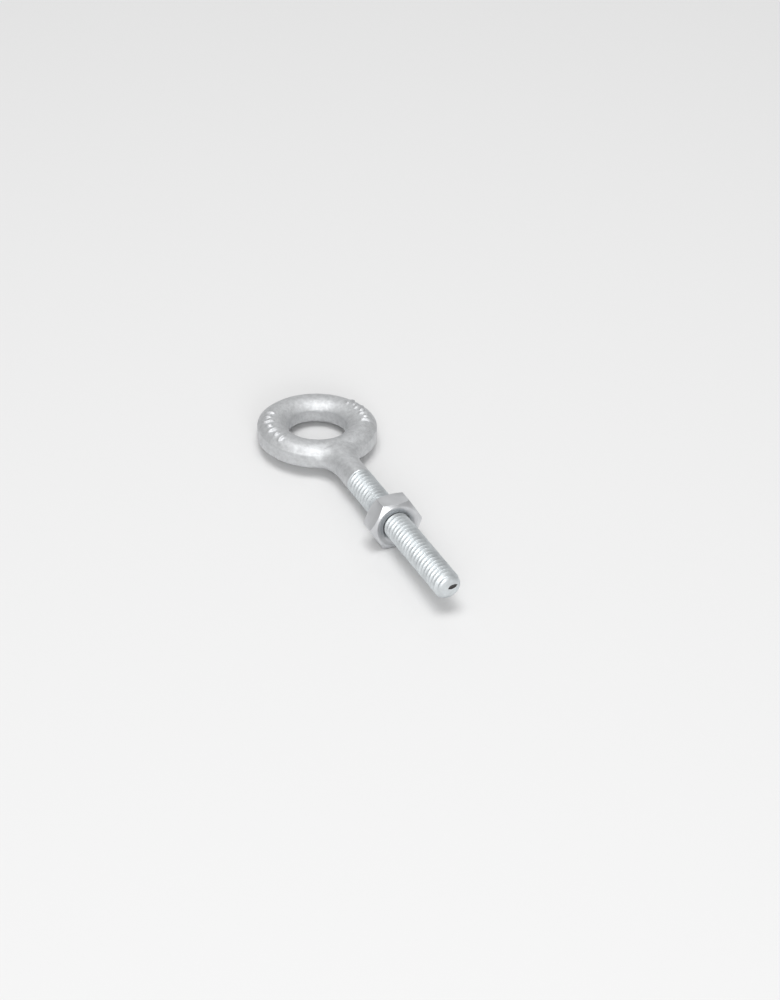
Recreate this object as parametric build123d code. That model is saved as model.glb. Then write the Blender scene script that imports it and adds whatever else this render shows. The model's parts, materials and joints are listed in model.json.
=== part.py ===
from build123d import *
import math
import os

# Forged nut eye bolt with its hexagon nut, lying at rest on a flat surface.
# Bolt axes while it is built: the eye's centre is the origin, +X runs along the shank
# to the tip, +Z is the eye's axis. rest() then turns everything into the lying attitude.
# All sizes are millimetres, angles are degrees.

# Eye ring
eye_inner_diameter = 13.6
eye_outer_diameter = 27.7
eye_thickness = 6.2
inner_land_height = 2.7
outer_land_height = 2.6

# Neck between the ring and the thread
neck_radius = 3.15
neck_fillet_radius = 7.0
neck_widest_past_crown = 1.7
neck_round_from = 18.6
neck_end = 24.0
neck_sections = 6
neck_seam_height = 0.24
neck_crown_drop = 0.03

# Threaded shank, 1/4-20 UNC right-hand
thread_pitch = 25.4 / 20
thread_major_radius = 3.15
thread_root_radius = 2.42
thread_flank_angle = 30
thread_foot_depth = 0.06
shank_tip = 70.7
tip_chamfer = 0.85
tip_pit_length = 2.2
tip_pit_width = 0.95
tip_pit_depth = 0.5
tip_pit_off_centre = 0.75
tip_pit_turn = 19

# Hexagon nut, 7/16 in across flats by 7/32 in thick
nut_across_flats = 11.11
nut_thickness = 5.56
nut_washer_face_thickness = 0.4
nut_washer_face_radius = 5.0
nut_chamfer_angle = 30
nut_face_x = 38.6
nut_countersink_radius = 4.1
nut_countersink_depth = 1.0
thread_clearance = 0.17

# Lying attitude: the nut's lower flat is level and the eye leans about the shank
rest_roll = 2.3

# How far a trimming tool stands clear of what it trims
trim_margin = 1.0

# Derived sizes
eye_inner_radius = eye_inner_diameter / 2
eye_outer_radius = eye_outer_diameter / 2
eye_crown_radius = (eye_inner_radius + eye_outer_radius) / 2
eye_half_thickness = eye_thickness / 2
crest_width = thread_pitch / 8
nut_half_flats = nut_across_flats / 2
nut_corner_radius = nut_half_flats / math.cos(math.radians(30))
nut_body_x = nut_face_x + nut_washer_face_thickness
nut_end_x = nut_face_x + nut_thickness
nut_chamfer_slope = math.tan(math.radians(nut_chamfer_angle))
thread_flank_slope = math.tan(math.radians(thread_flank_angle))
neck_widest_x = eye_crown_radius + neck_widest_past_crown


def ring_above_nut(tilt):
    """How much higher than the nut's lower flat the ring's lowest point is, at a tilt."""
    shank_rise = math.sin(tilt)
    eye_upright = math.cos(tilt) * math.cos(math.radians(rest_roll))
    eye_lean = math.sqrt(1 - eye_upright**2)
    ring_low = -eye_crown_radius * eye_lean - eye_half_thickness * eye_upright
    flat_x = nut_body_x + (nut_half_flats - nut_washer_face_radius) * nut_chamfer_slope
    nut_low = flat_x * shank_rise - nut_half_flats * math.cos(tilt)
    return ring_low - nut_low


def resting_tilt():
    """The tilt, in degrees, that lets the ring and the nut's lower flat touch one plane."""
    low, high = 0.0, math.radians(10)
    for _ in range(40):
        middle = (low + high) / 2
        if ring_above_nut(middle) > 0:
            low = middle
        else:
            high = middle
    return math.degrees(low)


rest_tilt = resting_tilt()


def rest(solid):
    """Lays the bolt on the ring's rear edge and the nut, leaning a little to one side."""
    return Rot(Y=-rest_tilt) * Rot(X=-rest_roll) * solid


def along_shank(solid, x=0.0):
    """Turns a solid built up +Z so that it runs along the shank, starting at x."""
    return Pos(X=x) * Rot(Y=90) * solid


def upright_bar(radius, length):
    """A round bar that stands on the XY plane."""
    return Cylinder(radius, length, align=(Align.CENTER, Align.CENTER, Align.MIN))


def eye_ring():
    """The ring: crowned above and below, with flat trimmed lands inside and outside."""
    crown_top = (eye_crown_radius, eye_half_thickness)
    crown_bottom = (eye_crown_radius, -eye_half_thickness)
    inner_top = (eye_inner_radius, inner_land_height / 2)
    inner_bottom = (eye_inner_radius, -inner_land_height / 2)
    outer_top = (eye_outer_radius, outer_land_height / 2)
    outer_bottom = (eye_outer_radius, -outer_land_height / 2)
    with BuildPart() as ring:
        with BuildSketch(Plane.XZ):
            with BuildLine():
                Line(inner_bottom, inner_top)
                ThreePointArc(inner_top, crown_top, outer_top)
                Line(outer_top, outer_bottom)
                ThreePointArc(outer_bottom, crown_bottom, inner_bottom)
            make_face()
        revolve(axis=Axis.Z)
    return ring.part


def neck_half_width(x):
    """Half the neck's width at x: the shank's radius plus the fillet into the ring."""
    centre_y = neck_radius + neck_fillet_radius
    centre_x = math.sqrt((eye_outer_radius + neck_fillet_radius) ** 2 - centre_y**2)
    run = min(max(x, neck_widest_x) - centre_x, 0.0)
    return centre_y - math.sqrt(neck_fillet_radius**2 - run**2)


def neck_section(x):
    """The neck's outline at x: land at each side, arc above and below."""
    half_width = neck_half_width(x)
    widest = neck_half_width(neck_widest_x)
    flare = (half_width - neck_radius) / (widest - neck_radius)
    half_land = (neck_seam_height + (outer_land_height - neck_seam_height) * flare) / 2
    drop = neck_radius - eye_half_thickness + neck_crown_drop
    half_height = neck_radius - drop * flare
    side = math.sqrt(half_width**2 - half_land**2 * (1 - flare))
    with BuildSketch(Plane.YZ.offset(x)) as section:
        with BuildLine():
            Line((side, -half_land), (side, half_land))
            ThreePointArc((side, half_land), (0, half_height), (-side, half_land))
            Line((-side, half_land), (-side, -half_land))
            ThreePointArc((-side, -half_land), (0, -half_height), (side, -half_land))
        make_face()
    return section.sketch


def forged_eye():
    """Ring and neck, ending in the round face where the thread starts."""
    step = (neck_round_from - neck_widest_x) / (neck_sections - 1)
    stations = [neck_widest_x + step * i for i in range(neck_sections)]
    flare = loft([neck_section(x) for x in [eye_crown_radius] + stations])
    round_neck = upright_bar(neck_radius, neck_end - neck_round_from)
    return eye_ring() + flare + along_shank(round_neck, neck_round_from)


def threaded_rod(start, length, root, major, crest):
    """A core with one right-hand thread ridge, cut square at both ends."""
    ridge_foot = root - thread_foot_depth
    half_top = crest / 2
    half_foot = half_top + (major - ridge_foot) * thread_flank_slope
    lead_in = neck_end - 2 * thread_pitch
    turns_before = math.floor((start - lead_in) / thread_pitch) - 1
    helix_start = lead_in + turns_before * thread_pitch
    helix_length = length + 4 * thread_pitch
    path = Helix(pitch=thread_pitch, height=helix_length, radius=root)
    with BuildSketch(Plane.XZ) as profile:
        with BuildLine():
            Polyline(
                (ridge_foot, -half_foot),
                (major, -half_top),
                (major, half_top),
                (ridge_foot, half_foot),
                close=True,
            )
        make_face()
    ridge = sweep(profile.sketch, path=path, is_frenet=True)
    limits = Pos(Z=start - helix_start) * upright_bar(major + trim_margin, length)
    rod = (upright_bar(root, helix_length) + ridge) & limits
    return along_shank(rod, helix_start)


def threaded_shank():
    """The rolled thread, with a chamfered point and the sheared bar's pit in its end."""
    length = shank_tip - neck_end
    rod = threaded_rod(
        neck_end, length, thread_root_radius, thread_major_radius, crest_width
    )
    blank = upright_bar(thread_major_radius + trim_margin, length)
    pointed = chamfer(blank.edges().group_by(Axis.Z)[-1], tip_chamfer + trim_margin)
    slot = Rot(Z=tip_pit_turn) * Pos(Y=tip_pit_off_centre) * Rot(Z=90) * SlotOverall(
        tip_pit_length, tip_pit_width
    )
    pit = Pos(Z=length - tip_pit_depth) * extrude(slot, amount=tip_pit_depth)
    return rod & along_shank(pointed - pit, neck_end)


def nut_tap():
    """The thread space cut through the nut, in mesh with the shank at rest."""
    return threaded_rod(
        nut_face_x - thread_pitch,
        nut_thickness + 2 * thread_pitch,
        thread_root_radius + thread_clearance + thread_foot_depth,
        thread_major_radius + thread_clearance,
        crest_width + 2 * thread_clearance * thread_flank_slope,
    )


def nut_countersink(x, opening):
    """The lead-in cone at a nut face; opening is +1 towards the tip and -1 towards the eye."""
    depth = nut_countersink_depth
    cone = Pos(Z=-depth / 2) * Cone(thread_root_radius, nut_countersink_radius, depth)
    return Pos(X=x) * Rot(Y=90 * opening) * cone


def hex_nut():
    """The nut's hexagon body, chamfered at both ends of its corners, with its thread."""
    length = nut_end_x - nut_body_x
    outline = RegularPolygon(nut_corner_radius, 6, rotation=30 + rest_roll)
    turned = upright_bar(nut_corner_radius, length)
    rims = turned.edges().filter_by(GeomType.CIRCLE)
    width = nut_corner_radius - nut_washer_face_radius
    turned = chamfer(rims, width * nut_chamfer_slope, width)
    body = along_shank(extrude(outline, amount=length) & turned, nut_body_x)
    return body - nut_tap() - nut_countersink(nut_end_x, 1)


def nut_washer_face():
    """The raised round bearing face of the nut, turned towards the eye."""
    opening = thread_major_radius + 2 * thread_clearance
    disc = upright_bar(nut_washer_face_radius, nut_washer_face_thickness)
    return along_shank(disc - Cylinder(opening, trim_margin), nut_face_x)


def main():
    os.makedirs("parts", exist_ok=True)
    pieces = {
        "forged_eye": forged_eye(),
        "threaded_shank": threaded_shank(),
        "hex_nut": hex_nut(),
        "nut_washer_face": nut_washer_face(),
    }
    for name, solid in pieces.items():
        export_step(rest(solid), f"parts/{name}.step")


main()
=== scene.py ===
import json
import math

import bmesh
import bpy
from mathutils import Matrix, Vector, noise


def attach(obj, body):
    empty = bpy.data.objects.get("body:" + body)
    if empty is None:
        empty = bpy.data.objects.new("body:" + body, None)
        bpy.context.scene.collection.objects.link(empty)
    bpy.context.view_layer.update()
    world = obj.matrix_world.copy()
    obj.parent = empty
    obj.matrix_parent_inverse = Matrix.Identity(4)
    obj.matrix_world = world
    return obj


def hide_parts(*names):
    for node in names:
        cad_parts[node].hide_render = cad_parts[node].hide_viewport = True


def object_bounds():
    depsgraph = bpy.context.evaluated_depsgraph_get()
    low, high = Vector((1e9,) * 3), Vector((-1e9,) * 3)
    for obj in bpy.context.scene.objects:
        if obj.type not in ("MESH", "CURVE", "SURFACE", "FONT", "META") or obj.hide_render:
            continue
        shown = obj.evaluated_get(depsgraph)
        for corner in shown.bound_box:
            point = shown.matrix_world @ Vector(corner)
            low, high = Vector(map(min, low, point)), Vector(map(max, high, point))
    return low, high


bl_info = {
    "name": "Forged eye bolt",
    "version": (1, 0, 0),
    "blender": (4, 5, 0),
    "location": "3D View > Sidebar > Eye Bolt",
    "description": "Builds the forged eye, threaded shank and hexagon nut of an eye bolt",
    "category": "Mesh",
}

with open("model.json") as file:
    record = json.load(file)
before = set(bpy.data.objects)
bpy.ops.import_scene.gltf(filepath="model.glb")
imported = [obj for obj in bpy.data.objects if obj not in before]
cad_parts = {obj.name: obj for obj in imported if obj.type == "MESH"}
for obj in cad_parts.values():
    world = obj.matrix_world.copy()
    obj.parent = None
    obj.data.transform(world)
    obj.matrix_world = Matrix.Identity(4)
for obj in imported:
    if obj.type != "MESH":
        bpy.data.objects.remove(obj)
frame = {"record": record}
CAD_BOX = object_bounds()

MM = 0.001

# Facets round a turned piece, round the ring, in one turn of thread and round a bead
ROUND_STEPS = 96
RING_STEPS = 168
THREAD_STEPS = 56
BEAD_STEPS = 12

MOUNTS = {m["name"]: m for m in frame["record"]["mounts"]}
JOINTS = {j["name"]: j for j in frame["record"]["behaviour"]["joints"]}

# Bolt axes: the eye's centre is the origin, X runs along the shank and Z is the eye's axis.
SHANK_AXIS = Vector(JOINTS["nut_travel"]["axis"]).normalized()
EYE_AXIS = Vector(MOUNTS["eye"]["axis"]).normalized()
LYING = Matrix((SHANK_AXIS, EYE_AXIS.cross(SHANK_AXIS), EYE_AXIS)).transposed().to_4x4()


def along_shank(point):
    """How far along the shank a point of the frame lies from the eye's centre."""
    return Vector(point).dot(SHANK_AXIS)


THREAD_START = along_shank(MOUNTS["threaded_shank"]["pos_m"])
NUT_FACE = along_shank(MOUNTS["nut_bearing_face"]["pos_m"])


# ---------------------------------------------------------------- sizes


class EyeSizes(bpy.types.PropertyGroup):
    """Sizes of the ring and its neck."""

    inner_radius: bpy.props.FloatProperty(
        name="Inner radius", description="Radius of the flat wall inside the ring",
        default=MOUNTS["eye"]["dims"]["r_mm"] * MM, unit="LENGTH", subtype="DISTANCE",
    )
    outer_radius: bpy.props.FloatProperty(
        name="Outer radius", description="Radius of the trimmed wall round the ring",
        default=13.85 * MM, unit="LENGTH", subtype="DISTANCE",
    )
    thickness: bpy.props.FloatProperty(
        name="Thickness", description="Height of the ring from crown to crown",
        default=6.2 * MM, unit="LENGTH", subtype="DISTANCE",
    )
    inner_land: bpy.props.FloatProperty(
        name="Inner land", description="Height of the flat wall inside the ring",
        default=MOUNTS["eye"]["dims"]["length_mm"] * MM, unit="LENGTH", subtype="DISTANCE",
    )
    outer_land: bpy.props.FloatProperty(
        name="Outer land", description="Height of the trimmed wall round the ring",
        default=2.6 * MM, unit="LENGTH", subtype="DISTANCE",
    )
    parting_bead: bpy.props.FloatProperty(
        name="Parting bead", description="Radius of the bead along the edges of the outer land",
        default=0.28 * MM, unit="LENGTH", subtype="DISTANCE",
    )
    bead_rise: bpy.props.FloatProperty(
        name="Bead rise", description="How far the bead's middle lies past the land's edge",
        default=0.06 * MM, unit="LENGTH", subtype="DISTANCE",
    )
    neck_fillet: bpy.props.FloatProperty(
        name="Neck fillet", description="Radius of the hollow between the ring and the neck",
        default=7.0 * MM, unit="LENGTH", subtype="DISTANCE",
    )
    neck_widest: bpy.props.FloatProperty(
        name="Neck widest", description="How far past the crown the neck is widest",
        default=1.7 * MM, unit="LENGTH", subtype="DISTANCE",
    )
    neck_round_from: bpy.props.FloatProperty(
        name="Neck round from", description="Distance from the eye's centre to the round neck",
        default=18.6 * MM, unit="LENGTH", subtype="DISTANCE",
    )
    neck_seam: bpy.props.FloatProperty(
        name="Neck seam", description="Half height of the flat left along the round neck",
        default=0.12 * MM, unit="LENGTH", subtype="DISTANCE",
    )
    neck_crown_drop: bpy.props.FloatProperty(
        name="Neck crown drop", description="How far the neck starts below the ring's crown",
        default=0.03 * MM, unit="LENGTH", subtype="DISTANCE",
    )
    neck_end: bpy.props.FloatProperty(
        name="Neck end", description="Distance from the eye's centre to the first thread",
        default=24.0 * MM, unit="LENGTH", subtype="DISTANCE",
    )
    surface_step: bpy.props.FloatProperty(
        name="Surface step", description="Size of the facets of the forged surface",
        default=0.16 * MM, unit="LENGTH", subtype="DISTANCE",
    )


class ThreadSizes(bpy.types.PropertyGroup):
    """Sizes of the shank's thread and its point."""

    pitch: bpy.props.FloatProperty(
        name="Pitch", description="Distance from one thread to the next",
        default=1.27 * MM, unit="LENGTH", subtype="DISTANCE",
    )
    major_radius: bpy.props.FloatProperty(
        name="Crest radius", description="Radius over the thread's crests",
        default=MOUNTS["threaded_shank"]["dims"]["r_mm"] * MM, unit="LENGTH", subtype="DISTANCE",
    )
    root_radius: bpy.props.FloatProperty(
        name="Root radius", description="Radius at the bottom of the thread's groove",
        default=2.42 * MM, unit="LENGTH", subtype="DISTANCE",
    )
    tip: bpy.props.FloatProperty(
        name="Tip", description="Distance from the eye's centre to the shank's end",
        default=70.7 * MM, unit="LENGTH", subtype="DISTANCE",
    )
    point_length: bpy.props.FloatProperty(
        name="Point length", description="Length of the chamfer at the tip",
        default=1.05 * MM, unit="LENGTH", subtype="DISTANCE",
    )
    point_extra: bpy.props.FloatProperty(
        name="Point extra", description="How far below the thread's root the point ends",
        default=0.15 * MM, unit="LENGTH", subtype="DISTANCE",
    )
    crest_rounding: bpy.props.FloatProperty(
        name="Crest rounding", description="Rounding of the shank's thread",
        default=0.09 * MM, unit="LENGTH", subtype="DISTANCE",
    )
    nut_rounding: bpy.props.FloatProperty(
        name="Nut thread rounding", description="Rounding of the nut's thread",
        default=0.05 * MM, unit="LENGTH", subtype="DISTANCE",
    )
    clearance: bpy.props.FloatProperty(
        name="Clearance", description="Radial gap between the nut's thread and the shank's",
        default=0.17 * MM, unit="LENGTH", subtype="DISTANCE",
    )


class NutSizes(bpy.types.PropertyGroup):
    """Sizes of the hexagon nut."""

    across_flats: bpy.props.FloatProperty(
        name="Across flats", description="Distance between opposite flats",
        default=11.11 * MM, unit="LENGTH", subtype="DISTANCE",
    )
    thickness: bpy.props.FloatProperty(
        name="Thickness", description="Length of the nut with its washer face",
        default=5.56 * MM, unit="LENGTH", subtype="DISTANCE",
    )
    washer_face: bpy.props.FloatProperty(
        name="Washer face", description="Thickness of the round bearing face",
        default=0.4 * MM, unit="LENGTH", subtype="DISTANCE",
    )
    face_radius: bpy.props.FloatProperty(
        name="Face radius", description="Radius of the flat inside the corner chamfer",
        default=5.0 * MM, unit="LENGTH", subtype="DISTANCE",
    )
    countersink_radius: bpy.props.FloatProperty(
        name="Countersink radius", description="Radius of the lead-in at the outer face",
        default=4.1 * MM, unit="LENGTH", subtype="DISTANCE",
    )
    countersink_depth: bpy.props.FloatProperty(
        name="Countersink depth", description="Depth of the lead-in at the outer face",
        default=1.0 * MM, unit="LENGTH", subtype="DISTANCE",
    )
    chamfer_angle: bpy.props.FloatProperty(
        name="Chamfer angle", description="Slope of the corner chamfer from the face",
        default=math.radians(30), unit="ROTATION", subtype="ANGLE",
    )
    blank_margin: bpy.props.FloatProperty(
        name="Blank margin", description="How far the turned blank stands outside the corners",
        default=0.2 * MM, unit="LENGTH", subtype="DISTANCE",
    )
    edge_round: bpy.props.FloatProperty(
        name="Edge rounding", description="Width of the worn edge between two faces",
        default=0.12 * MM, unit="LENGTH", subtype="DISTANCE",
    )


class FinishColours(bpy.types.PropertyGroup):
    """Colours of the zinc finish and of the studio."""

    forged: bpy.props.FloatVectorProperty(
        name="Forged zinc", description="Colour of the eye's zinc coat",
        default=(0.63, 0.64, 0.65), size=3, subtype="COLOR", min=0, max=1,
    )
    thread: bpy.props.FloatVectorProperty(
        name="Thread zinc", description="Colour of the shank's zinc coat",
        default=(0.68, 0.71, 0.725), size=3, subtype="COLOR", min=0, max=1,
    )
    nut: bpy.props.FloatVectorProperty(
        name="Nut zinc", description="Colour of the nut's zinc coat",
        default=(0.67, 0.68, 0.695), size=3, subtype="COLOR", min=0, max=1,
    )
    floor: bpy.props.FloatVectorProperty(
        name="Floor", description="Colour of the studio floor",
        default=(0.79, 0.79, 0.79), size=3, subtype="COLOR", min=0, max=1,
    )


# ---------------------------------------------------------------- mesh helpers


def vertices_of(geometry):
    """The vertices among the elements that a bmesh operator returned."""
    return [g for g in geometry if isinstance(g, bmesh.types.BMVert)]


def edges_of(geometry):
    """The edges among the elements that a bmesh operator returned."""
    return [g for g in geometry if isinstance(g, bmesh.types.BMEdge)]


def turn_arc(bm, vert, centre, axis, angle, steps):
    """Sweeps one vertex into an arc and returns the arc's last vertex."""
    swept = bmesh.ops.spin(
        bm, geom=[vert], cent=centre, axis=axis, angle=angle, steps=steps
    )
    return vertices_of(swept["geom_last"])[0]


def turn_round(bm, profile, axis, steps):
    """Turns a profile of edges a full circle about an axis through the origin."""
    bmesh.ops.spin(
        bm, geom=profile, cent=(0, 0, 0), axis=axis,
        angle=2 * math.pi, steps=steps, use_merge=True,
    )
    bmesh.ops.remove_doubles(bm, verts=bm.verts, dist=1e-7)
    bmesh.ops.recalc_face_normals(bm, faces=bm.faces)


def trace(bm, points):
    """Joins a few points with straight edges and returns the edges."""
    verts = [bm.verts.new(p) for p in points]
    return [bm.edges.new(pair) for pair in zip(verts, verts[1:])]


def finish_mesh(bm, name):
    """Turns a bmesh in bolt axes into an object, with its faces outwards."""
    bmesh.ops.recalc_face_normals(bm, faces=bm.faces)
    mesh = bpy.data.meshes.new(name)
    bm.to_mesh(mesh)
    bm.free()
    piece = bpy.data.objects.new(name, mesh)
    bpy.context.scene.collection.objects.link(piece)
    return piece


def lay_down(piece):
    """Puts a piece built in bolt axes in its place in the frame, in its own mesh."""
    piece.data.transform(LYING)
    piece.data.update()


def keep_modified(piece):
    """Replaces a piece's mesh by what its modifiers make of it."""
    graph = bpy.context.evaluated_depsgraph_get()
    mesh = bpy.data.meshes.new_from_object(piece.evaluated_get(graph))
    piece.modifiers.clear()
    piece.data = mesh
    mesh.name = piece.name


def combine(piece, tool, operation):
    """Cuts a piece by a tool piece, or keeps what they share, and drops the tool."""
    modifier = piece.modifiers.new(operation.title(), "BOOLEAN")
    modifier.object = tool
    modifier.operation = operation
    modifier.solver = "EXACT"
    modifier.material_mode = "TRANSFER"
    keep_modified(piece)
    bpy.data.objects.remove(tool)


def shade(piece, smooth_below):
    """Smooths the shading where faces meet at less than the given angle."""
    bpy.context.view_layer.objects.active = piece
    piece.select_set(True)
    bpy.ops.object.shade_smooth_by_angle(angle=smooth_below)
    piece.select_set(False)


# ---------------------------------------------------------------- the forged eye


ARC_STEPS = 22
NECK_ARC_STEPS = 26
NECK_SPANS = 12

# A last section part of the way along the round neck, and what is cut off past its end
NECK_MIDWAY = 2.5 * MM
NECK_SPARE = 0.6 * MM

# Raised ribs: the middle and the spread of each row round the ring, and the ribs' sizes
RIB_ROWS = (
    (math.radians(-98), math.radians(58)),
    (math.radians(90), math.radians(46)),
)
RIBS_IN_ROW = 7
RIB_FROM_EDGE = 2.5 * MM
RIB_LENGTHS = (2.9 * MM, 1.7 * MM)
RIB_WIDTH = 0.95 * MM
RIB_HEIGHT = 1.1 * MM
RIB_SUNK = 0.08 * MM

# Radius that the ring's upper face bends to, for leaning the ribs with it
CROWN_BEND = 4.6 * MM

# Unevenness of the forging: size of each kind of wave and its height, and how far the
# skin is drawn in so that no wave stands outside the true size
FORGED_WAVES = ((2.6 * MM, 0.022 * MM), (1.1 * MM, 0.012 * MM), (0.5 * MM, 0.010 * MM))
FORGED_SINK = 0.03 * MM
FORGED_SMOOTHINGS = 2


def crown_radius(eye):
    """Radius of the ring's crown, half way between its inner and outer walls."""
    return (eye.inner_radius + eye.outer_radius) / 2


def section_loop(bm, half_width, half_height, half_land, arc_steps):
    """A closed section in the YZ plane: a flat at each side, an arc above and below."""
    rise = half_height - half_land
    radius = (half_width**2 + rise**2) / (2 * rise)
    half_angle = math.asin(min(half_width / radius, 1.0))
    if rise > half_width:
        half_angle = math.pi - half_angle
    upper = bm.verts.new((0, half_width, half_land))
    upper_end = turn_arc(
        bm, upper, (0, 0, half_height - radius), (1, 0, 0), 2 * half_angle, arc_steps
    )
    lower = bm.verts.new((0, -half_width, -half_land))
    lower_end = turn_arc(
        bm, lower, (0, 0, radius - half_height), (1, 0, 0), 2 * half_angle, arc_steps
    )
    bm.edges.new((upper_end, lower))
    bm.edges.new((lower_end, upper))
    bm.verts.ensure_lookup_table()
    return upper


def loop_through(vert):
    """All edges of the closed loop that a vertex is on."""
    edges, current, came_by = [], vert, None
    while True:
        came_by = next(e for e in current.link_edges if e is not came_by and e not in edges)
        edges.append(came_by)
        current = came_by.other_vert(current)
        if current is vert:
            return edges


def add_ring(bm, eye):
    """The ring: crowned above and below, with flat walls inside and outside."""
    top = [
        Vector((eye.inner_radius, 0, eye.inner_land / 2)),
        Vector((crown_radius(eye), 0, eye.thickness / 2)),
        Vector((eye.outer_radius, 0, eye.outer_land / 2)),
    ]
    chord_a, chord_b = top[1] - top[0], top[2] - top[1]
    mid_a, mid_b = (top[0] + top[1]) / 2, (top[1] + top[2]) / 2
    across_a = Vector((-chord_a.z, 0, chord_a.x))
    across_b = Vector((-chord_b.z, 0, chord_b.x))
    gap = mid_b - mid_a
    turn = across_a.x * across_b.z - across_a.z * across_b.x
    reach = (gap.x * across_b.z - gap.z * across_b.x) / turn
    centre = mid_a + across_a * reach
    angle = (top[0] - centre).angle(top[2] - centre)
    inner_top = bm.verts.new(top[0])
    outer_top = turn_arc(bm, inner_top, centre, (0, 1, 0), angle, ARC_STEPS)
    low_centre = Vector((centre.x, 0, -centre.z))
    inner_low = bm.verts.new((top[0].x, 0, -top[0].z))
    outer_low = turn_arc(bm, inner_low, low_centre, (0, -1, 0), angle, ARC_STEPS)
    bm.edges.new((outer_top, outer_low))
    bm.edges.new((inner_low, inner_top))
    turn_round(bm, list(bm.verts) + list(bm.edges), (0, 0, 1), RING_STEPS)


def add_parting_beads(bm, eye):
    """A slight bead where the trimmed outer wall meets the crown, above and below."""
    bead = eye.parting_bead
    top = eye.outer_land / 2 + eye.bead_rise
    for height in (top, -top):
        verts = bmesh.ops.create_circle(bm, segments=BEAD_STEPS, radius=bead)["verts"]
        upright = Matrix.Rotation(math.radians(90), 3, "X")
        bmesh.ops.rotate(bm, cent=(0, 0, 0), matrix=upright, verts=verts)
        bmesh.ops.translate(bm, vec=(eye.outer_radius - bead, 0, height), verts=verts)
        edges = {edge for vert in verts for edge in vert.link_edges}
        turn_round(bm, verts + list(edges), (0, 0, 1), RING_STEPS)


def neck_half_width(eye, shank_radius, x):
    """Half the neck's width at x: the shank's radius plus the fillet into the ring."""
    centre_y = shank_radius + eye.neck_fillet
    centre_x = math.sqrt((eye.outer_radius + eye.neck_fillet) ** 2 - centre_y**2)
    run = min(x - centre_x, 0.0)
    return centre_y - math.sqrt(eye.neck_fillet**2 - run**2)


def add_neck(bm, eye, shank_radius):
    """The neck: a flat web at the ring that grows into the round shank."""
    crown = crown_radius(eye)
    start, round_from = crown + eye.neck_widest, eye.neck_round_from
    widest = neck_half_width(eye, shank_radius, start)
    stations = [
        start + (round_from - start) * i / NECK_SPANS for i in range(NECK_SPANS + 1)
    ]
    stations = [crown, *stations, round_from + NECK_MIDWAY, eye.neck_end + NECK_SPARE]
    loops = []
    for x in stations:
        half_width = neck_half_width(eye, shank_radius, max(x, start))
        flare = (half_width - shank_radius) / (widest - shank_radius)
        half_land = eye.neck_seam + (eye.outer_land / 2 - eye.neck_seam) * flare
        drop = shank_radius - eye.thickness / 2 + eye.neck_crown_drop
        half_height = shank_radius - drop * flare
        known = set(bm.verts)
        first = section_loop(bm, half_width, half_height, half_land, NECK_ARC_STEPS)
        added = [v for v in bm.verts if v not in known]
        bmesh.ops.translate(bm, vec=(x, 0, 0), verts=added)
        loops.append(loop_through(first))
    for near, far in zip(loops, loops[1:]):
        bmesh.ops.bridge_loops(bm, edges=near + far)
    for end in (loops[0], loops[-1]):
        bmesh.ops.contextual_create(bm, geom=end)


def crown_height(eye, radius):
    """Height of the ring's upper face at a distance from the eye's centre."""
    half_width = (eye.outer_radius - eye.inner_radius) / 2
    rise = (eye.thickness - (eye.inner_land + eye.outer_land) / 2) / 2
    arc = (half_width**2 + rise**2) / (2 * rise)
    return eye.thickness / 2 - arc + math.sqrt(arc**2 - (radius - crown_radius(eye)) ** 2)


def add_rib(bm, eye, angle, radius, length):
    """A low raised rib along the radius on the ring's upper face."""
    made = bmesh.ops.create_icosphere(bm, subdivisions=3, radius=0.5)["verts"]
    lean = Matrix.Rotation(math.asin((radius - crown_radius(eye)) / CROWN_BEND), 3, "Y")
    place = (radius, 0, crown_height(eye, radius) - RIB_SUNK)
    swing = Matrix.Rotation(angle, 3, "Z")
    bmesh.ops.scale(bm, vec=(length, RIB_WIDTH, RIB_HEIGHT), verts=made)
    bmesh.ops.rotate(bm, cent=(0, 0, 0), matrix=lean, verts=made)
    bmesh.ops.translate(bm, vec=place, verts=made)
    bmesh.ops.rotate(bm, cent=(0, 0, 0), matrix=swing, verts=made)


def add_ribs(bm, eye):
    """Two plain rows of raised ribs, long and short, one on each side of the ring."""
    radius = eye.outer_radius - RIB_FROM_EDGE
    for middle, spread in RIB_ROWS:
        for i in range(RIBS_IN_ROW):
            angle = middle + spread * (i / (RIBS_IN_ROW - 1) - 0.5)
            add_rib(bm, eye, angle, radius, RIB_LENGTHS[i % 2])


def make_forged_surface(piece, step):
    """Melts the parts into one skin and gives it the slight unevenness of a forging."""
    melt = piece.modifiers.new("Melt", "REMESH")
    melt.mode = "VOXEL"
    melt.voxel_size = step
    keep_modified(piece)
    bm = bmesh.new()
    bm.from_mesh(piece.data)
    for _ in range(FORGED_SMOOTHINGS):
        bmesh.ops.smooth_vert(
            bm, verts=bm.verts, factor=0.5, use_axis_x=True, use_axis_y=True, use_axis_z=True
        )
    bm.normal_update()
    for v in bm.verts:
        rise = sum(noise.noise(v.co / size) * height for size, height in FORGED_WAVES)
        v.co += v.normal * (rise - FORGED_SINK)
    return bm


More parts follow.
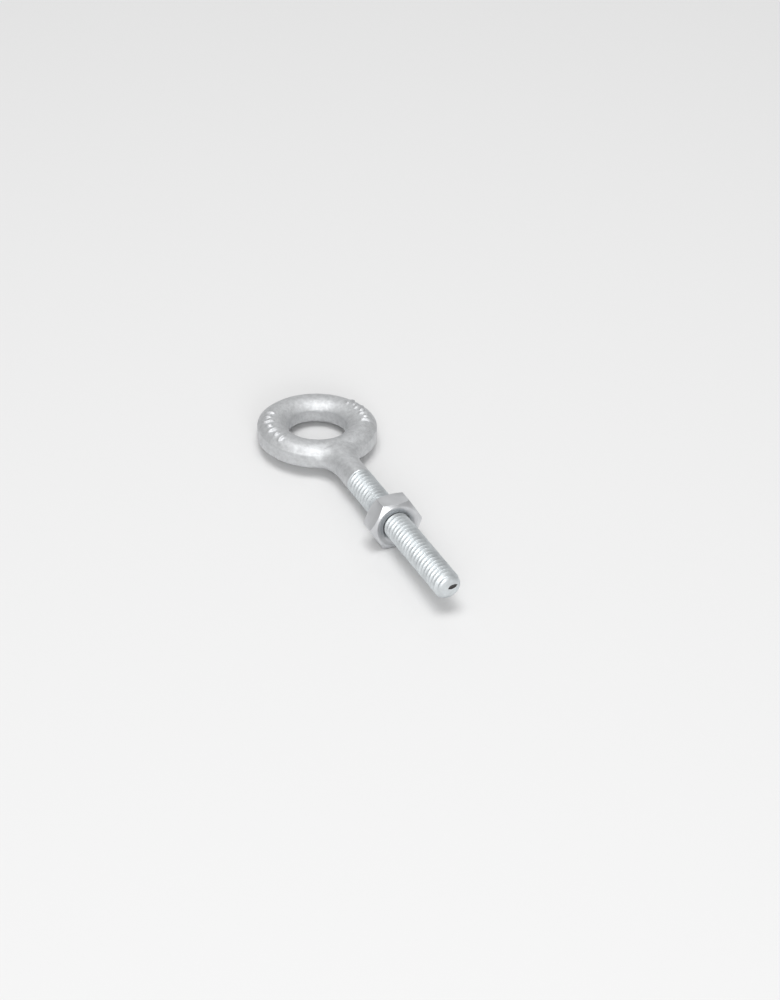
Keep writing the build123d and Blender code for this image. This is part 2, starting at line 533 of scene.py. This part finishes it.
class EYEBOLT_OT_forged_eye(bpy.types.Operator):
    """Builds the ring and neck as one forged skin"""

    bl_idname = "eyebolt.forged_eye"
    bl_label = "Forged Eye"

    def execute(self, context):
        eye, thread = context.scene.eyebolt_eye, context.scene.eyebolt_thread
        bm = bmesh.new()
        add_ring(bm, eye)
        add_parting_beads(bm, eye)
        add_neck(bm, eye, thread.major_radius)
        add_ribs(bm, eye)
        piece = finish_mesh(bm, "forged_eye_skin")
        bm = make_forged_surface(piece, eye.surface_step)
        cut = bmesh.ops.bisect_plane(
            bm, geom=list(bm.verts) + list(bm.edges) + list(bm.faces),
            plane_co=(eye.neck_end, 0, 0), plane_no=(1, 0, 0), clear_outer=True,
        )
        bmesh.ops.contextual_create(bm, geom=edges_of(cut["geom_cut"]))
        bm.to_mesh(piece.data)
        bm.free()
        shade(piece, math.radians(50))
        lay_down(piece)
        piece.data.materials.clear()
        piece.data.materials.append(forged_zinc(context.scene.eyebolt_finish.forged))
        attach(piece, "eye_bolt")
        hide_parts("forged_eye")
        return {"FINISHED"}


# ---------------------------------------------------------------- threads


FLANK_SLOPE = math.tan(math.radians(30))

# How much wider the crest gets as a thread grows, so that both flanks keep their gap
CREST_GROWTH = 1.2

# Share of a pitch over which the groove deepens beside the plain neck
FADE_IN = 0.6

# The rounding of the shank's end: share of the point's radius, and distance from the tip
TIP_ROUNDING = (
    (0.985, 0.26 * MM), (0.95, 0.18 * MM), (0.88, 0.1 * MM), (0.76, 0.04 * MM), (0.5, 0.005 * MM),
)
TIP_ROUND_FROM = 0.34 * MM

# The torn pit in the shank's end: half sizes, place off the axis and turn about it
PIT_HALF_SIZE = (0.9 * MM, 1.1 * MM, 0.5 * MM)
PIT_OFF_CENTRE = (0.75 * MM, -0.05 * MM)
PIT_TURN = math.radians(16)
PIT_RAGGED = 0.22
PIT_RAG_SCALE = 1.7
PIT_RAG_SHIFT = Vector((3, 1, 7))


def thread_profile(pitch, root, major, crest, rounding):
    """One pitch of a thread from root to root, as points along X at a height below Z."""
    flank = (major - root) * FLANK_SLOPE
    half_crest = crest / 2
    half_foot = half_crest + flank
    return [
        (-pitch / 2, root - rounding / 3),
        (-half_foot - rounding * 0.35, root),
        (-half_foot + rounding * 0.3, root + rounding * 0.75),
        (-half_crest - rounding * 0.35, major - rounding * 0.8),
        (-half_crest + rounding * 0.1, major - rounding * 0.2),
        (0, major),
        (half_crest - rounding * 0.1, major - rounding * 0.2),
        (half_crest + rounding * 0.35, major - rounding * 0.8),
        (half_foot - rounding * 0.3, root + rounding * 0.75),
        (half_foot + rounding * 0.35, root),
        (pitch / 2, root - rounding / 3),
    ]


def add_helix(bm, thread, start, end, grow, rounding):
    """A right-hand thread from start to end as an open tube; grow makes it larger all over."""
    pitch = thread.pitch
    crest = pitch / 8 + grow * CREST_GROWTH
    lead_in = THREAD_START - 2 * pitch
    first = lead_in + (math.floor((start - lead_in) / pitch) - 2) * pitch
    turns = math.ceil((end - first) / pitch) + 2
    root, major = thread.root_radius + grow, thread.major_radius + grow
    profile = trace(
        bm,
        [(first + x, 0, -r) for x, r in thread_profile(pitch, root, major, crest, rounding)],
    )
    ends = list({v for e in profile for v in e.verts})
    bmesh.ops.spin(
        bm, geom=profile + ends, cent=(0, 0, 0), axis=(1, 0, 0),
        dvec=(pitch / THREAD_STEPS, 0, 0), angle=2 * math.pi * turns,
        steps=THREAD_STEPS * turns,
    )
    bmesh.ops.remove_doubles(bm, verts=bm.verts, dist=pitch / 400)


def cut_square(bm, x, outer):
    """Cuts everything beyond the plane at x away and returns the cut's edges."""
    cut = bmesh.ops.bisect_plane(
        bm, geom=list(bm.verts) + list(bm.edges) + list(bm.faces),
        plane_co=(x, 0, 0), plane_no=(1, 0, 0), clear_outer=outer, clear_inner=not outer,
    )
    return edges_of(cut["geom_cut"])


def radius_of(v):
    """A vertex's distance from the shank's axis."""
    return math.hypot(v.co.y, v.co.z)


def set_radius(v, radius):
    """Moves a vertex to a distance from the shank's axis."""
    scale = radius / radius_of(v)
    v.co.y *= scale
    v.co.z *= scale


def draw_in(bm, edges, radius, x):
    """Extrudes a round edge loop to a new radius and place and returns the new loop."""
    made = bmesh.ops.extrude_edge_only(bm, edges=edges)["geom"]
    for v in vertices_of(made):
        set_radius(v, radius)
        v.co.x = x
    return edges_of(made)


def fade_thread(bm, start, thread):
    """Lets the groove deepen gradually from the plain neck."""
    length = FADE_IN * thread.pitch
    for v in bm.verts:
        share = (v.co.x - start) / length
        if share < 1:
            share = max(share, 0.0)
            keep = share * share * (3 - 2 * share)
            radius = radius_of(v)
            set_radius(v, thread.major_radius + (radius - thread.major_radius) * keep)


def point_thread(bm, thread):
    """Turns the chamfer at the tip: no vertex stands outside its cone."""
    shoulder = thread.tip - thread.point_length
    drop = thread.major_radius - thread.root_radius + thread.point_extra
    slope = drop / thread.point_length
    for v in bm.verts:
        allowed = thread.major_radius - (v.co.x - shoulder) * slope
        if v.co.x > shoulder and radius_of(v) > allowed:
            set_radius(v, allowed)


def sheared_pit(thread):
    """The ragged pit that shearing the bar left in its end."""
    bm = bmesh.new()
    made = bmesh.ops.create_icosphere(bm, subdivisions=4, radius=1.0)["verts"]
    for v in made:
        v.co *= 1 + PIT_RAGGED * noise.noise(v.co * PIT_RAG_SCALE + PIT_RAG_SHIFT)
    bmesh.ops.scale(bm, vec=PIT_HALF_SIZE, verts=made)
    bmesh.ops.translate(bm, vec=(thread.tip, *PIT_OFF_CENTRE), verts=made)
    turn = Matrix.Rotation(PIT_TURN, 3, "X")
    bmesh.ops.rotate(bm, cent=(0, 0, 0), matrix=turn, verts=made)
    pit = finish_mesh(bm, "sheared_pit")
    # The pit's faces carry painted shade, a dark material in place of the shadow inside it
    pit.data.materials.append(pit_painted_shade())
    return pit


class EYEBOLT_OT_threaded_shank(bpy.types.Operator):
    """Builds the shank with its rolled thread, its run-out and its pitted point"""

    bl_idname = "eyebolt.threaded_shank"
    bl_label = "Threaded Shank"

    def execute(self, context):
        eye, thread = context.scene.eyebolt_eye, context.scene.eyebolt_thread
        bm = bmesh.new()
        add_helix(bm, thread, eye.neck_end, thread.tip, 0.0, thread.crest_rounding)
        neck_rim = cut_square(bm, eye.neck_end, outer=False)
        fade_thread(bm, eye.neck_end, thread)
        bmesh.ops.contextual_create(bm, geom=neck_rim)
        rim = cut_square(bm, thread.tip - TIP_ROUND_FROM, outer=True)
        point_thread(bm, thread)
        end_radius = min(radius_of(v) for e in rim for v in e.verts)
        for share, short in TIP_ROUNDING:
            rim = draw_in(bm, rim, end_radius * share, thread.tip - short)
        bmesh.ops.contextual_create(bm, geom=rim)
        piece = finish_mesh(bm, "rolled_shank")
        piece.data.materials.append(thread_zinc(context.scene.eyebolt_finish.thread))
        # The cut leaves the pit's painted shade material on the hollow in the shank's end
        combine(piece, sheared_pit(thread), "DIFFERENCE")
        shade(piece, math.radians(62))
        lay_down(piece)
        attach(piece, "eye_bolt")
        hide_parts("threaded_shank")
        return {"FINISHED"}


# ---------------------------------------------------------------- the nut


def turned_piece(name, outline, steps):
    """A solid of revolution about the shank's axis from an outline of (x, radius)."""
    bm = bmesh.new()
    profile = trace(bm, [(x, 0, r) for x, r in outline])
    verts = list({v for e in profile for v in e.verts})
    turn_round(bm, profile + verts, (1, 0, 0), steps)
    return finish_mesh(bm, name)


def corner_radius(nut):
    """Radius over the hexagon's corners."""
    return nut.across_flats / 2 / math.cos(math.radians(30))


def hexagon_bar(nut, start, end):
    """A plain hexagon bar along the shank, one of its flats level underneath."""
    bm = bmesh.new()
    made = bmesh.ops.create_circle(
        bm, cap_ends=True, segments=6, radius=corner_radius(nut)
    )["verts"]
    facing = Matrix.Rotation(math.radians(90), 3, "Y")
    bmesh.ops.rotate(bm, cent=(0, 0, 0), matrix=facing, verts=made)
    level = Matrix.Rotation(math.asin(EYE_AXIS.y), 3, "X")
    bmesh.ops.rotate(bm, cent=(0, 0, 0), matrix=level, verts=made)
    bmesh.ops.translate(bm, vec=(start, 0, 0), verts=made)
    walls = bmesh.ops.extrude_face_region(bm, geom=list(bm.faces))["geom"]
    bmesh.ops.translate(bm, vec=(end - start, 0, 0), verts=vertices_of(walls))
    return finish_mesh(bm, "nut_body")


def round_edges(piece, width):
    """Rounds a piece's sharp edges slightly."""
    bm = bmesh.new()
    bm.from_mesh(piece.data)
    sharp = [
        e for e in bm.edges
        if len(e.link_faces) == 2 and e.calc_face_angle() > math.radians(12)
    ]
    bmesh.ops.bevel(
        bm, geom=sharp, offset=width, offset_type="OFFSET", segments=3, profile=0.5,
        affect="EDGES", clamp_overlap=True, material=-1,
    )
    bm.to_mesh(piece.data)
    bm.free()


def nut_tap(thread, start, end):
    """The thread space inside the nut, in mesh with the shank."""
    bm = bmesh.new()
    add_helix(bm, thread, start, end, thread.clearance, thread.nut_rounding)
    for x, outer in ((start, False), (end, True)):
        bmesh.ops.contextual_create(bm, geom=cut_square(bm, x, outer))
    return finish_mesh(bm, "nut_tap")


class EYEBOLT_OT_hex_nut(bpy.types.Operator):
    """Builds the hexagon nut with chamfered corners, thread and countersink"""

    bl_idname = "eyebolt.hex_nut"
    bl_label = "Hexagon Nut"

    def execute(self, context):
        nut, thread = context.scene.eyebolt_nut, context.scene.eyebolt_thread
        start, end = NUT_FACE + nut.washer_face, NUT_FACE + nut.thickness
        piece = hexagon_bar(nut, start, end)
        corner = corner_radius(nut) + nut.blank_margin
        rise = (corner - nut.face_radius) * math.tan(nut.chamfer_angle)
        blank = turned_piece(
            "nut_blank",
            [(start, 0), (start, nut.face_radius), (start + rise, corner),
             (end - rise, corner), (end, nut.face_radius), (end, 0)],
            2 * ROUND_STEPS,
        )
        combine(piece, blank, "INTERSECT")
        round_edges(piece, nut.edge_round)
        combine(piece, nut_tap(thread, start - MM, end + MM), "DIFFERENCE")
        depth = nut.countersink_depth
        spread = nut.countersink_radius - thread.root_radius
        sink = turned_piece(
            "countersink",
            [(end - depth, 0), (end - depth, thread.root_radius),
             (end + depth, nut.countersink_radius + spread), (end + depth, 0)],
            ROUND_STEPS,
        )
        combine(piece, sink, "DIFFERENCE")
        shade(piece, math.radians(35))
        lay_down(piece)
        piece.data.materials.clear()
        piece.data.materials.append(nut_zinc(context.scene.eyebolt_finish.nut))
        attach(piece, "nut")
        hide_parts("hex_nut")
        return {"FINISHED"}


class EYEBOLT_OT_washer_face(bpy.types.Operator):
    """Builds the raised round bearing face of the nut"""

    bl_idname = "eyebolt.washer_face"
    bl_label = "Washer Face"

    def execute(self, context):
        nut, thread = context.scene.eyebolt_nut, context.scene.eyebolt_thread
        back = NUT_FACE + nut.washer_face
        hole = thread.major_radius + 2 * thread.clearance
        lip = 0.08 * MM
        piece = turned_piece(
            "washer_face_ring",
            [(back, hole), (NUT_FACE + lip, hole), (NUT_FACE, hole + lip),
             (NUT_FACE, nut.face_radius - lip), (NUT_FACE + lip, nut.face_radius),
             (back, nut.face_radius), (back, hole)],
            ROUND_STEPS,
        )
        shade(piece, math.radians(30))
        lay_down(piece)
        piece.data.materials.append(nut_zinc(context.scene.eyebolt_finish.nut))
        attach(piece, "nut_carrier")
        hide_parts("nut_washer_face")
        return {"FINISHED"}


# ---------------------------------------------------------------- finishes


def new_material(name):
    """A material with its node tree, its surface shader and its object coordinates."""
    material = bpy.data.materials.new(name)
    material.use_nodes = True
    nodes, links = material.node_tree.nodes, material.node_tree.links
    shader = nodes["Principled BSDF"]
    place = nodes.new("ShaderNodeTexCoord").outputs["Object"]
    return material, nodes, links, shader, place


def noise_of(nodes, links, place, size, detail=3.0, roughness=0.55):
    """A noise whose blotches are about the given size in metres."""
    texture = nodes.new("ShaderNodeTexNoise")
    texture.inputs["Scale"].default_value = 1 / size
    texture.inputs["Detail"].default_value = detail
    texture.inputs["Roughness"].default_value = roughness
    links.new(place, texture.inputs["Vector"])
    return texture.outputs["Fac"]


def ramp_of(nodes, links, value, stops):
    """A colour ramp over a value, from (position, colour) stops."""
    ramp = nodes.new("ShaderNodeValToRGB")
    elements = ramp.color_ramp.elements
    while len(elements) < len(stops):
        elements.new(0.5)
    for element, (position, colour) in zip(elements, stops):
        element.position = position
        element.color = (*colour, 1)
    links.new(value, ramp.inputs["Fac"])
    return ramp.outputs["Color"]


def range_of(nodes, links, value, low, high):
    """Maps a value from 0..1 to low..high."""
    spread = nodes.new("ShaderNodeMapRange")
    spread.inputs["To Min"].default_value = low
    spread.inputs["To Max"].default_value = high
    links.new(value, spread.inputs["Value"])
    return spread.outputs["Result"]


def bump_of(nodes, links, height, distance, strength, under=None):
    """A bump from a height, laid over another bump if one is given."""
    bump = nodes.new("ShaderNodeBump")
    bump.inputs["Distance"].default_value = distance
    bump.inputs["Strength"].default_value = strength
    links.new(height, bump.inputs["Height"])
    if under is not None:
        links.new(under, bump.inputs["Normal"])
    return bump.outputs["Normal"]


def shades(colour, low, high):
    """A darker and a lighter shade of a colour."""
    return [tuple(min(c * k, 1.0) for c in colour) for k in (low, high)]


def forged_zinc(colour):
    """Matte zinc over the slightly grainy skin of a forging."""
    material, nodes, links, shader, place = new_material("forged_zinc")
    clouds = noise_of(nodes, links, place, size=1.1 * MM, detail=5.0, roughness=0.7)
    dark, light = shades(colour, 0.90, 1.09)
    links.new(
        ramp_of(nodes, links, clouds, [(0.36, dark), (0.64, light)]),
        shader.inputs["Base Color"],
    )
    grain = noise_of(nodes, links, place, size=0.45 * MM, detail=5.0, roughness=0.7)
    links.new(range_of(nodes, links, grain, 0.38, 0.70), shader.inputs["Roughness"])
    ripple = noise_of(nodes, links, place, size=1.3 * MM, detail=2.0)
    wave = bump_of(nodes, links, ripple, 0.10 * MM, 0.6)
    links.new(bump_of(nodes, links, grain, 0.12 * MM, 0.7, wave), shader.inputs["Normal"])
    shader.inputs["Metallic"].default_value = 0.85
    return material


def thread_zinc(colour):
    """Brighter, smoother zinc on the rolled thread."""
    material, nodes, links, shader, place = new_material("thread_zinc")
    clouds = noise_of(nodes, links, place, size=2.5 * MM, detail=4.0)
    dark, light = shades(colour, 0.9, 1.1)
    links.new(
        ramp_of(nodes, links, clouds, [(0.35, dark), (0.65, light)]),
        shader.inputs["Base Color"],
    )
    grain = noise_of(nodes, links, place, size=0.2 * MM, detail=4.0, roughness=0.6)
    links.new(range_of(nodes, links, grain, 0.42, 0.60), shader.inputs["Roughness"])
    links.new(bump_of(nodes, links, grain, 0.02 * MM, 0.5), shader.inputs["Normal"])
    shader.inputs["Metallic"].default_value = 1.0
    return material


# Painted shade for the pit at the shank's end: dark colours that stand in for the shadow inside
# the recess
PIT_SHADE_DARK = (0.07, 0.065, 0.065)
PIT_SHADE_LIGHT = (0.24, 0.235, 0.23)


def pit_painted_shade():
    """Painted shade: a dark grainy material for the inside of the pit at the shank's end,
    standing in for the shadow in the recess.
    """
    material, nodes, links, shader, place = new_material("pit_painted_shade")
    grain = noise_of(nodes, links, place, size=0.3 * MM, detail=4.0, roughness=0.7)
    links.new(
        ramp_of(nodes, links, grain, [(0.35, PIT_SHADE_DARK), (0.7, PIT_SHADE_LIGHT)]),
        shader.inputs["Base Color"],
    )
    links.new(bump_of(nodes, links, grain, 0.08 * MM, 0.8), shader.inputs["Normal"])
    shader.inputs["Metallic"].default_value = 0.6
    shader.inputs["Roughness"].default_value = 0.75
    return material


def nut_zinc(colour):
    """Smooth satin zinc on the nut's pressed flats."""
    material = bpy.data.materials.get("nut_zinc")
    if material:
        return material
    material, nodes, links, shader, place = new_material("nut_zinc")
    clouds = noise_of(nodes, links, place, size=4 * MM, detail=3.0)
    dark, light = shades(colour, 0.93, 1.07)
    links.new(
        ramp_of(nodes, links, clouds, [(0.35, dark), (0.65, light)]),
        shader.inputs["Base Color"],
    )
    grain = noise_of(nodes, links, place, size=0.35 * MM, detail=4.0, roughness=0.6)
    links.new(range_of(nodes, links, grain, 0.30, 0.44), shader.inputs["Roughness"])
    links.new(bump_of(nodes, links, grain, 0.02 * MM, 0.35), shader.inputs["Normal"])
    shader.inputs["Metallic"].default_value = 1.0
    return material


# ---------------------------------------------------------------- the studio


# Each soft light's name, place, width, height and power
STUDIO_LIGHTS = (
    ("overhead", (0.08, -0.06, 0.90), 0.5, 0.5, 4.2),
    ("front", (1.15, -0.25, 0.38), 0.5, 0.35, 3.0),
    ("back", (-0.9, 0.45, 0.72), 0.8, 0.6, 0.5),
    ("fill", (0.86, -0.41, 0.55), 0.6, 0.6, 2.6),
)
LIGHTS_AIM = (0.03, 0, 0)
SKY_STRENGTH = 0.46
FLOOR_HALF_SIZE = 3.0

CAMERA_AZIMUTH = 64.74
CAMERA_ELEVATION = 35.67
CAMERA_ROLL = 0.8
CAMERA_DISTANCE = 0.785
CAMERA_AIM = (31.8 * MM, 3.83 * MM, 0)
CAMERA_LENS = 126.0


def floor_material(colour):
    """Plain matte floor."""
    material, _, _, shader, _ = new_material("studio_floor")
    shader.inputs["Base Color"].default_value = (*colour, 1)
    shader.inputs["Roughness"].default_value = 0.9
    shader.inputs["Specular IOR Level"].default_value = 0.1
    return material


def add_softbox(name, place, width, height, power):
    """A rectangular soft light turned towards the bolt."""
    light = bpy.data.lights.new(name, "AREA")
    light.shape = "RECTANGLE"
    light.size, light.size_y = width, height
    light.energy = power
    lamp = bpy.data.objects.new(name, light)
    lamp.location = place
    towards = Vector(LIGHTS_AIM) - Vector(place)
    lamp.rotation_euler = towards.to_track_quat("-Z", "Y").to_euler()
    bpy.context.scene.collection.objects.link(lamp)


def add_camera():
    """The camera, looking at the middle of the bolt from its azimuth and elevation."""
    a, e = math.radians(CAMERA_AZIMUTH), math.radians(CAMERA_ELEVATION)
    back = Vector((math.sin(a) * math.cos(e), -math.cos(a) * math.cos(e), math.sin(e)))
    camera = bpy.data.objects.new("studio_camera", bpy.data.cameras.new("studio_camera"))
    camera.data.lens = CAMERA_LENS
    camera.data.clip_start, camera.data.clip_end = 0.01, 20
    roll = Matrix.Rotation(math.radians(CAMERA_ROLL), 3, "Z")
    turn = (-back).to_track_quat("-Z", "Y").to_matrix() @ roll
    place = Vector(CAMERA_AIM) + back * CAMERA_DISTANCE
    camera.matrix_world = Matrix.Translation(place) @ turn.to_4x4()
    bpy.context.scene.collection.objects.link(camera)
    bpy.context.scene.camera = camera


class EYEBOLT_OT_stage(bpy.types.Operator):
    """Sets out the floor, the soft lights and the camera"""

    bl_idname = "eyebolt.stage"
    bl_label = "Studio Stage"

    def execute(self, context):
        low = CAD_BOX[0]
        bm = bmesh.new()
        bmesh.ops.create_grid(bm, x_segments=1, y_segments=1, size=FLOOR_HALF_SIZE)
        bmesh.ops.translate(bm, vec=(0, 0, low.z), verts=bm.verts)
        floor = finish_mesh(bm, "studio_floor")
        floor.data.materials.append(floor_material(context.scene.eyebolt_finish.floor))
        world = context.scene.world or bpy.data.worlds.new("studio")
        context.scene.world = world
        world.use_nodes = True
        background = world.node_tree.nodes["Background"]
        background.inputs["Color"].default_value = (1, 1, 1, 1)
        background.inputs["Strength"].default_value = SKY_STRENGTH
        for light in STUDIO_LIGHTS:
            add_softbox(*light)
        add_camera()
        context.scene.view_settings.view_transform = "Standard"
        return {"FINISHED"}


# ---------------------------------------------------------------- add-on


class EYEBOLT_PT_builder(bpy.types.Panel):
    """Lists the eye bolt's pieces and sizes in the sidebar"""

    bl_idname = "EYEBOLT_PT_builder"
    bl_label = "Eye Bolt"
    bl_space_type = "VIEW_3D"
    bl_region_type = "UI"
    bl_category = "Eye Bolt"

    def draw(self, context):
        for operator in BUILD_ORDER:
            self.layout.operator(operator.bl_idname)
        for group in PROPERTY_GROUPS:
            settings = getattr(context.scene, group)
            box = self.layout.box()
            for name in settings.bl_rna.properties.keys():
                if name not in ("rna_type", "name"):
                    box.prop(settings, name)


PROPERTY_GROUPS = {
    "eyebolt_eye": EyeSizes,
    "eyebolt_thread": ThreadSizes,
    "eyebolt_nut": NutSizes,
    "eyebolt_finish": FinishColours,
}
BUILD_ORDER = (
    EYEBOLT_OT_forged_eye,
    EYEBOLT_OT_threaded_shank,
    EYEBOLT_OT_hex_nut,
    EYEBOLT_OT_washer_face,
    EYEBOLT_OT_stage,
)


def register():
    for cls in (*PROPERTY_GROUPS.values(), *BUILD_ORDER, EYEBOLT_PT_builder):
        bpy.utils.register_class(cls)
    for name, group in PROPERTY_GROUPS.items():
        setattr(bpy.types.Scene, name, bpy.props.PointerProperty(type=group))


def unregister():
    for name in PROPERTY_GROUPS:
        delattr(bpy.types.Scene, name)
    for cls in (EYEBOLT_PT_builder, *BUILD_ORDER, *PROPERTY_GROUPS.values()):
        bpy.utils.unregister_class(cls)


def main():
    register()
    for operator in BUILD_ORDER:
        group, action = operator.bl_idname.split(".")
        getattr(getattr(bpy.ops, group), action)()


if __name__ == "__main__":
    main()
